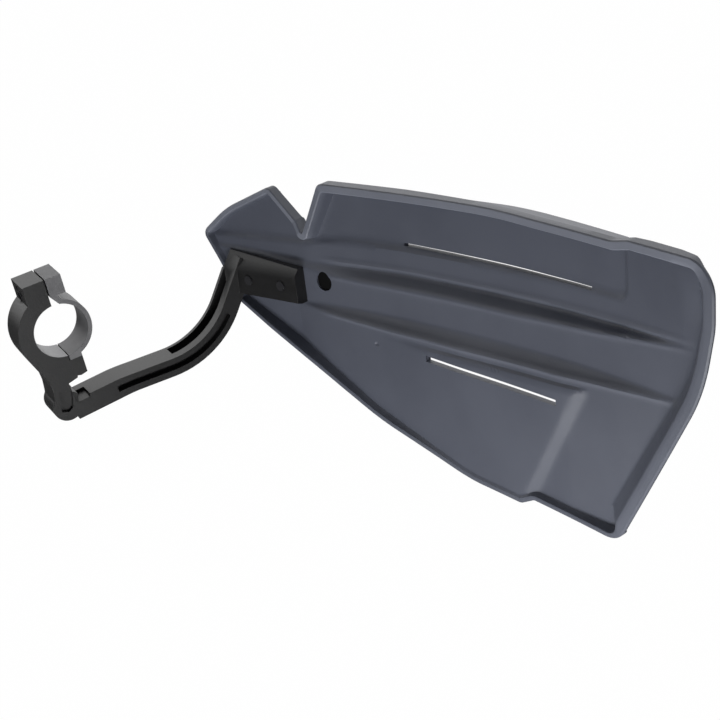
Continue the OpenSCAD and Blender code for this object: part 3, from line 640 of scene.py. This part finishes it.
class Rim:
    """The shield's edge, point by point round its outline: where it lies and what its section is."""

    def __init__(self):
        self.loop = rounded(OUTLINE, OUTLINE_STEP)
        ahead = np.roll(self.loop, -1, axis=0) - self.loop
        ahead /= np.linalg.norm(ahead, axis=1)[:, None]
        along = ahead + np.roll(ahead, 1, axis=0)
        along /= np.linalg.norm(along, axis=1)[:, None]
        self.inward = np.stack([along[:, 1], -along[:, 0]], 1)
        u, v = self.loop.T
        # How much each point belongs to the outer end, the top and the bottom
        end = ramp(-self.inward[:, 0], 0.35, 0.8) * ramp(u, 140, 150)
        top = ramp(-self.inward[:, 1], 0.2, 0.7) * (1 - end)
        low = np.clip(1 - end - top, 0, 1)
        self.end, self.top, self.low = (smoothed(x, 3) for x in (end, top, low))
        fin = 1 - ramp(u, -12, -2)
        self.lip = self.spread(*(wide - less * fin for wide, less in zip(LIP, LIP_LESS_ON_FIN)))
        self.run = self.spread(*WALL_RUN)
        self.painted_highlight = self.spread(*LIP_HIGHLIGHT)
        foot, _good = self.moved(self.lip + self.run)
        self.foot_level = face_level(foot[:, 0], foot[:, 1])
        level = smoothed(np.where(v > 0, LIP_LEVEL_TOP(u), LIP_LEVEL_LOW(u)), 6)
        self.level = np.maximum(level, self.foot_level + LEAST_RIM)
        self.outer_wall = self.spread(OUTER_WALL_TOP(u), OUTER_WALL_END, OUTER_WALL_LOW)
        self.wider = 1 + FRONT_WIDER_AT_END * np.maximum(ramp(u, 165, 195) * (1 - self.low), self.end)

    def spread(self, top, end, low):
        """A value given for the top, the outer end and the bottom, blended round the rim."""
        return self.top * top + self.end * end + self.low * low

    def moved(self, depth):
        return inset(self.loop, self.inward, depth)

    def rider_rings(self):
        """Rings down the rider's side, from the lip's edge to the face: points, level, kept."""
        rings = []
        for lip_share, run_share, drop_share in RIM_RINGS:
            ring, good = self.moved(self.lip * lip_share + self.run * run_share)
            rings.append((ring, self.level - (self.level - self.foot_level) * drop_share, good))
        last, good = self.moved(self.lip + self.run + FACE_FROM_FOOT)
        rings.append((last, face_level(last[:, 0], last[:, 1]), good))
        return rings

    def front_rings(self, edge):
        """Rings from the lip's edge over the outer wall to the front face, and what is kept."""
        deep = np.minimum(self.level - self.outer_wall, self.level - 1)
        front, good = self.moved(FRONT_IN * self.wider)
        face = front_level(front[:, 0], front[:, 1])
        rings = [(edge, self.level), (self.loop, self.level - EDGE_ROUND),
                 (self.moved(OUTER_WALL_DRAFT_LOW * self.low)[0], deep)]
        for across, fall in FRONT_RINGS:
            rings.append((self.moved(across * self.wider)[0], deep + (face - deep) * fall))
        return rings + [(front, face)], good

    def highlight_at(self, flat):
        """Painted highlight: the lip is coloured lighter where light catches it, most along the top, and
        the crests of the creases a little.
        """
        gap, index = nearest(flat, self.loop)
        u, v = flat.T
        lip = self.painted_highlight[index] * (1 - ramp(gap - self.lip[index], -0.2, 0.6))
        crest = 1 - ramp(np.abs(v - upper_top(u) - UPPER_BEAD[0]), 0.2, 1.3)
        sill = 1 - ramp(np.abs(v - lower_low(u) - LOWER_BEAD[0]), 0.2, 1.1)
        return lip + CREASE_HIGHLIGHT * beads(u) * (crest + sill) * (gap > CREASE_HIGHLIGHT_FROM_EDGE)


def shield_skin():
    """The shield as a moulded tray: a lip, a drafted rim wall, a dished face and its front."""
    rim = Rim()
    rings = rim.rider_rings()
    holes = openings()
    rider_points, rider_faces = filled(rings[0][0], rings, holes, face_level)
    shell, good = rim.front_rings(rings[0][0])
    front, level = shell[-1]
    front_points, front_faces = filled(front, [(front, level, good)], holes, front_level)
    mesh = bmesh.new()
    # Each corner's share of the painted highlight on the lip and the crease crests
    highlight_layer = mesh.verts.layers.float.new("painted_edge_highlight")

    def put(points, faces, painted_highlight=None):
        made = [mesh.verts.new(chart(*p)) for p in points]
        for k, vert in enumerate(made):
            vert[highlight_layer] = 0 if painted_highlight is None else painted_highlight[k]
        for f in faces:
            mesh.faces.new([made[k] for k in f])

    def band(first, second, painted_highlight=None):
        """A strip of quads between two closed rings with as many points."""
        n = len(first)
        put(first + second, [(k, (k + 1) % n, n + (k + 1) % n, n + k) for k in range(n)], painted_highlight)

    def raised(line, h):
        return [(*p, float(level)) for p, level in zip(line, h)]

    put(rider_points, rider_faces, rim.highlight_at(np.array([p[:2] for p in rider_points])))
    put(front_points, [f[::-1] for f in front_faces])
    no_highlight = [0] * len(rim.loop)
    for i, (upper, lower) in enumerate(zip(shell, shell[1:])):
        band(raised(*upper), raised(*lower), (no_highlight if i else list(rim.painted_highlight)) + no_highlight)
    for hole in holes:
        band(raised(hole, face_level(*hole.T)), raised(hole, front_level(*hole.T)))
    return closed_object(mesh, "shield_skin")


def place_camera():
    """The photo's view, shifted so that the bar's axis falls on BAR_PIXEL."""
    right = Vector((math.sin(VIEW_TURN), math.cos(VIEW_TURN), 0))
    back = Vector((math.cos(VIEW_HEIGHT) * math.cos(VIEW_TURN),
                   -math.cos(VIEW_HEIGHT) * math.sin(VIEW_TURN), math.sin(VIEW_HEIGHT)))
    up = back.cross(right)
    focal = LENS / SENSOR * PICTURE
    aside = (BAR_PIXEL[0] - PICTURE / 2) / focal * BAR_DEPTH
    above = (PICTURE / 2 - BAR_PIXEL[1]) / focal * BAR_DEPTH
    data = bpy.data.cameras.new("camera")
    data.lens = LENS
    data.sensor_width = SENSOR
    data.clip_start = 0.02
    camera = bpy.data.objects.new("camera", data)
    bpy.context.scene.collection.objects.link(camera)
    turn = Matrix((right, up, back)).transposed().to_4x4()
    camera.matrix_world = Matrix.Translation(back * BAR_DEPTH - right * aside - up * above) @ turn
    bpy.context.scene.camera = camera


def soft_light(name, place, aim, size, power, across=None):
    """An area light; with a direction across, a strip whose long side lies along it."""
    data = bpy.data.lights.new(name, "AREA")
    data.shape = "RECTANGLE" if across else "DISK"
    data.size, data.size_y = size if across else (size, size)
    data.energy = power
    lamp = bpy.data.objects.new(name, data)
    bpy.context.scene.collection.objects.link(lamp)
    back = (Vector(place) - Vector(aim)).normalized()
    side = Vector(across) if across else back.orthogonal()
    side = (side - back * side.dot(back)).normalized()
    turn = Matrix((side, back.cross(side), back)).transposed().to_4x4()
    lamp.matrix_world = Matrix.Translation(place) @ turn


# Studio: a low strip on the rider's side, a soft key from behind, and a world that is dim
# around the part but that reflections see bright on its far side
SHIELD_MIDDLE = Vector((0.12, 0.12, -0.01))
ALONG_SHIELD = Vector((0.93, 0.37, 0.09))
STRIP_FROM = Vector((0.615, -0.628, -0.465))
STRIP_AIM = Vector((0.12, 0.12, -0.04))
STRIP_SIZE = (0.5, 0.12)
STRIP_AWAY = 0.36
STRIP_POWER = 1.6
KEY_FROM = Vector((0.25, 0.62, 0.74))
KEY_AWAY = 1.3
KEY_SIZE = 0.5
KEY_POWER = 2
AMBIENT = 0.05
FAR_SHINE = 1.5
NEAR_SHINE = 0.12
FAR_SIDE = (-0.73, 0.36, 0.58)
FAR_FROM = -0.1
FAR_FULL = 0.55


def light_studio():
    soft_light("strip_low", STRIP_AIM + STRIP_FROM * STRIP_AWAY, STRIP_AIM, STRIP_SIZE, STRIP_POWER,
               ALONG_SHIELD)
    soft_light("key_behind", SHIELD_MIDDLE + KEY_FROM * KEY_AWAY, SHIELD_MIDDLE, KEY_SIZE, KEY_POWER)


def set_world():
    """White to the camera, dim to diffuse light, and to reflections white only on the far side."""
    world = bpy.data.worlds.new("studio")
    bpy.context.scene.world = world
    world.use_nodes = True
    tree = world.node_tree
    back = tree.nodes["Background"]
    toward = Socket(tree, tree.nodes.new("ShaderNodeTexCoord").outputs["Generated"])
    path = toward.node("ShaderNodeLightPath")
    seen, shiny = (Socket(tree, path.outputs[key]) for key in ("Is Camera Ray", "Is Glossy Ray"))
    away = toward.node("ShaderNodeVectorMath", {0: toward, 1: FAR_SIDE}, operation="DOT_PRODUCT")
    far = Socket(tree, away.outputs["Value"]).smooth(FAR_FROM, FAR_FULL)
    shine = far * (FAR_SHINE - NEAR_SHINE) + NEAR_SHINE
    unseen = shiny * (shine - AMBIENT) + AMBIENT
    back.inputs["Color"].default_value = WHITE
    feed(tree, back.inputs["Strength"], seen * (1.0 - unseen) + unseen)


# Floor: how far below the bar, half its width, its tone, and how white the camera sees it
FLOOR_DROP = 0.32
FLOOR_REACH = 6.0
FLOOR_TONE = (0.9, 0.9, 0.9, 1)
FLOOR_WHITE = 0.995


def lay_floor():
    """A pale floor far below the part, plain white where the camera sees it unshaded."""
    mesh = bmesh.new()
    bmesh.ops.create_grid(mesh, x_segments=1, y_segments=1, size=FLOOR_REACH)
    data = bpy.data.meshes.new("floor")
    mesh.to_mesh(data)
    mesh.free()
    floor = bpy.data.objects.new("floor", data)
    floor.location = (0, 0, -FLOOR_DROP)
    bpy.context.scene.collection.objects.link(floor)
    made, shader, place = new_material("floor_pale")
    tree = made.node_tree
    shader.inputs["Base Color"].default_value = FLOOR_TONE
    shader.inputs["Roughness"].default_value = 0.9
    path = place.node("ShaderNodeLightPath")
    seen = Socket(tree, path.outputs["Is Camera Ray"])
    glow = place.node("ShaderNodeEmission", {"Color": WHITE, "Strength": 1.0})
    blend = place.node("ShaderNodeMixShader", {0: seen * FLOOR_WHITE})
    tree.links.new(shader.outputs[0], blend.inputs[1])
    tree.links.new(glow.outputs[0], blend.inputs[2])
    tree.links.new(blend.outputs[0], tree.nodes["Material Output"].inputs["Surface"])
    dress(floor, made)


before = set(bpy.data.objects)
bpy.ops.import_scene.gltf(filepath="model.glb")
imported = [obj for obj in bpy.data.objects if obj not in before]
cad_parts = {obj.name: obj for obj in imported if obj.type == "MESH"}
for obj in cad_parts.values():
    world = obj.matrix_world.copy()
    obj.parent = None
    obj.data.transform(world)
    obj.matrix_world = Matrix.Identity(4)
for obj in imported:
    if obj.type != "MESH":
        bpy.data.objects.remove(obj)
note_size()
place_camera()
light_studio()
set_world()
lay_floor()

steel = plain_metal("fastener_steel", STEEL_TONE, 0.35)
brass = plain_metal("insert_brass", BRASS_TONE, 0.4)
skin = shield_skin()
dress(skin, shield_plastic())
smooth_below(skin, SHIELD_SHARP)
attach(skin, "root")
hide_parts("shield")
finished("arm", coated_black(), 0.35 * MM)
finished("clamp_cap", cap_grey(), 0.3 * MM)
for node in ("clamp_bolt", "screw_inner", "screw_outer", "washer_inner", "washer_outer"):
    finished(node, steel, 0.12 * MM)
for node in ("insert_inner", "insert_outer"):
    finished(node, brass, 0.1 * MM)
finished("hole_plug", plug_rubber(), 0.3 * MM)

bpy.context.scene.view_settings.view_transform = "Standard"
note_size()
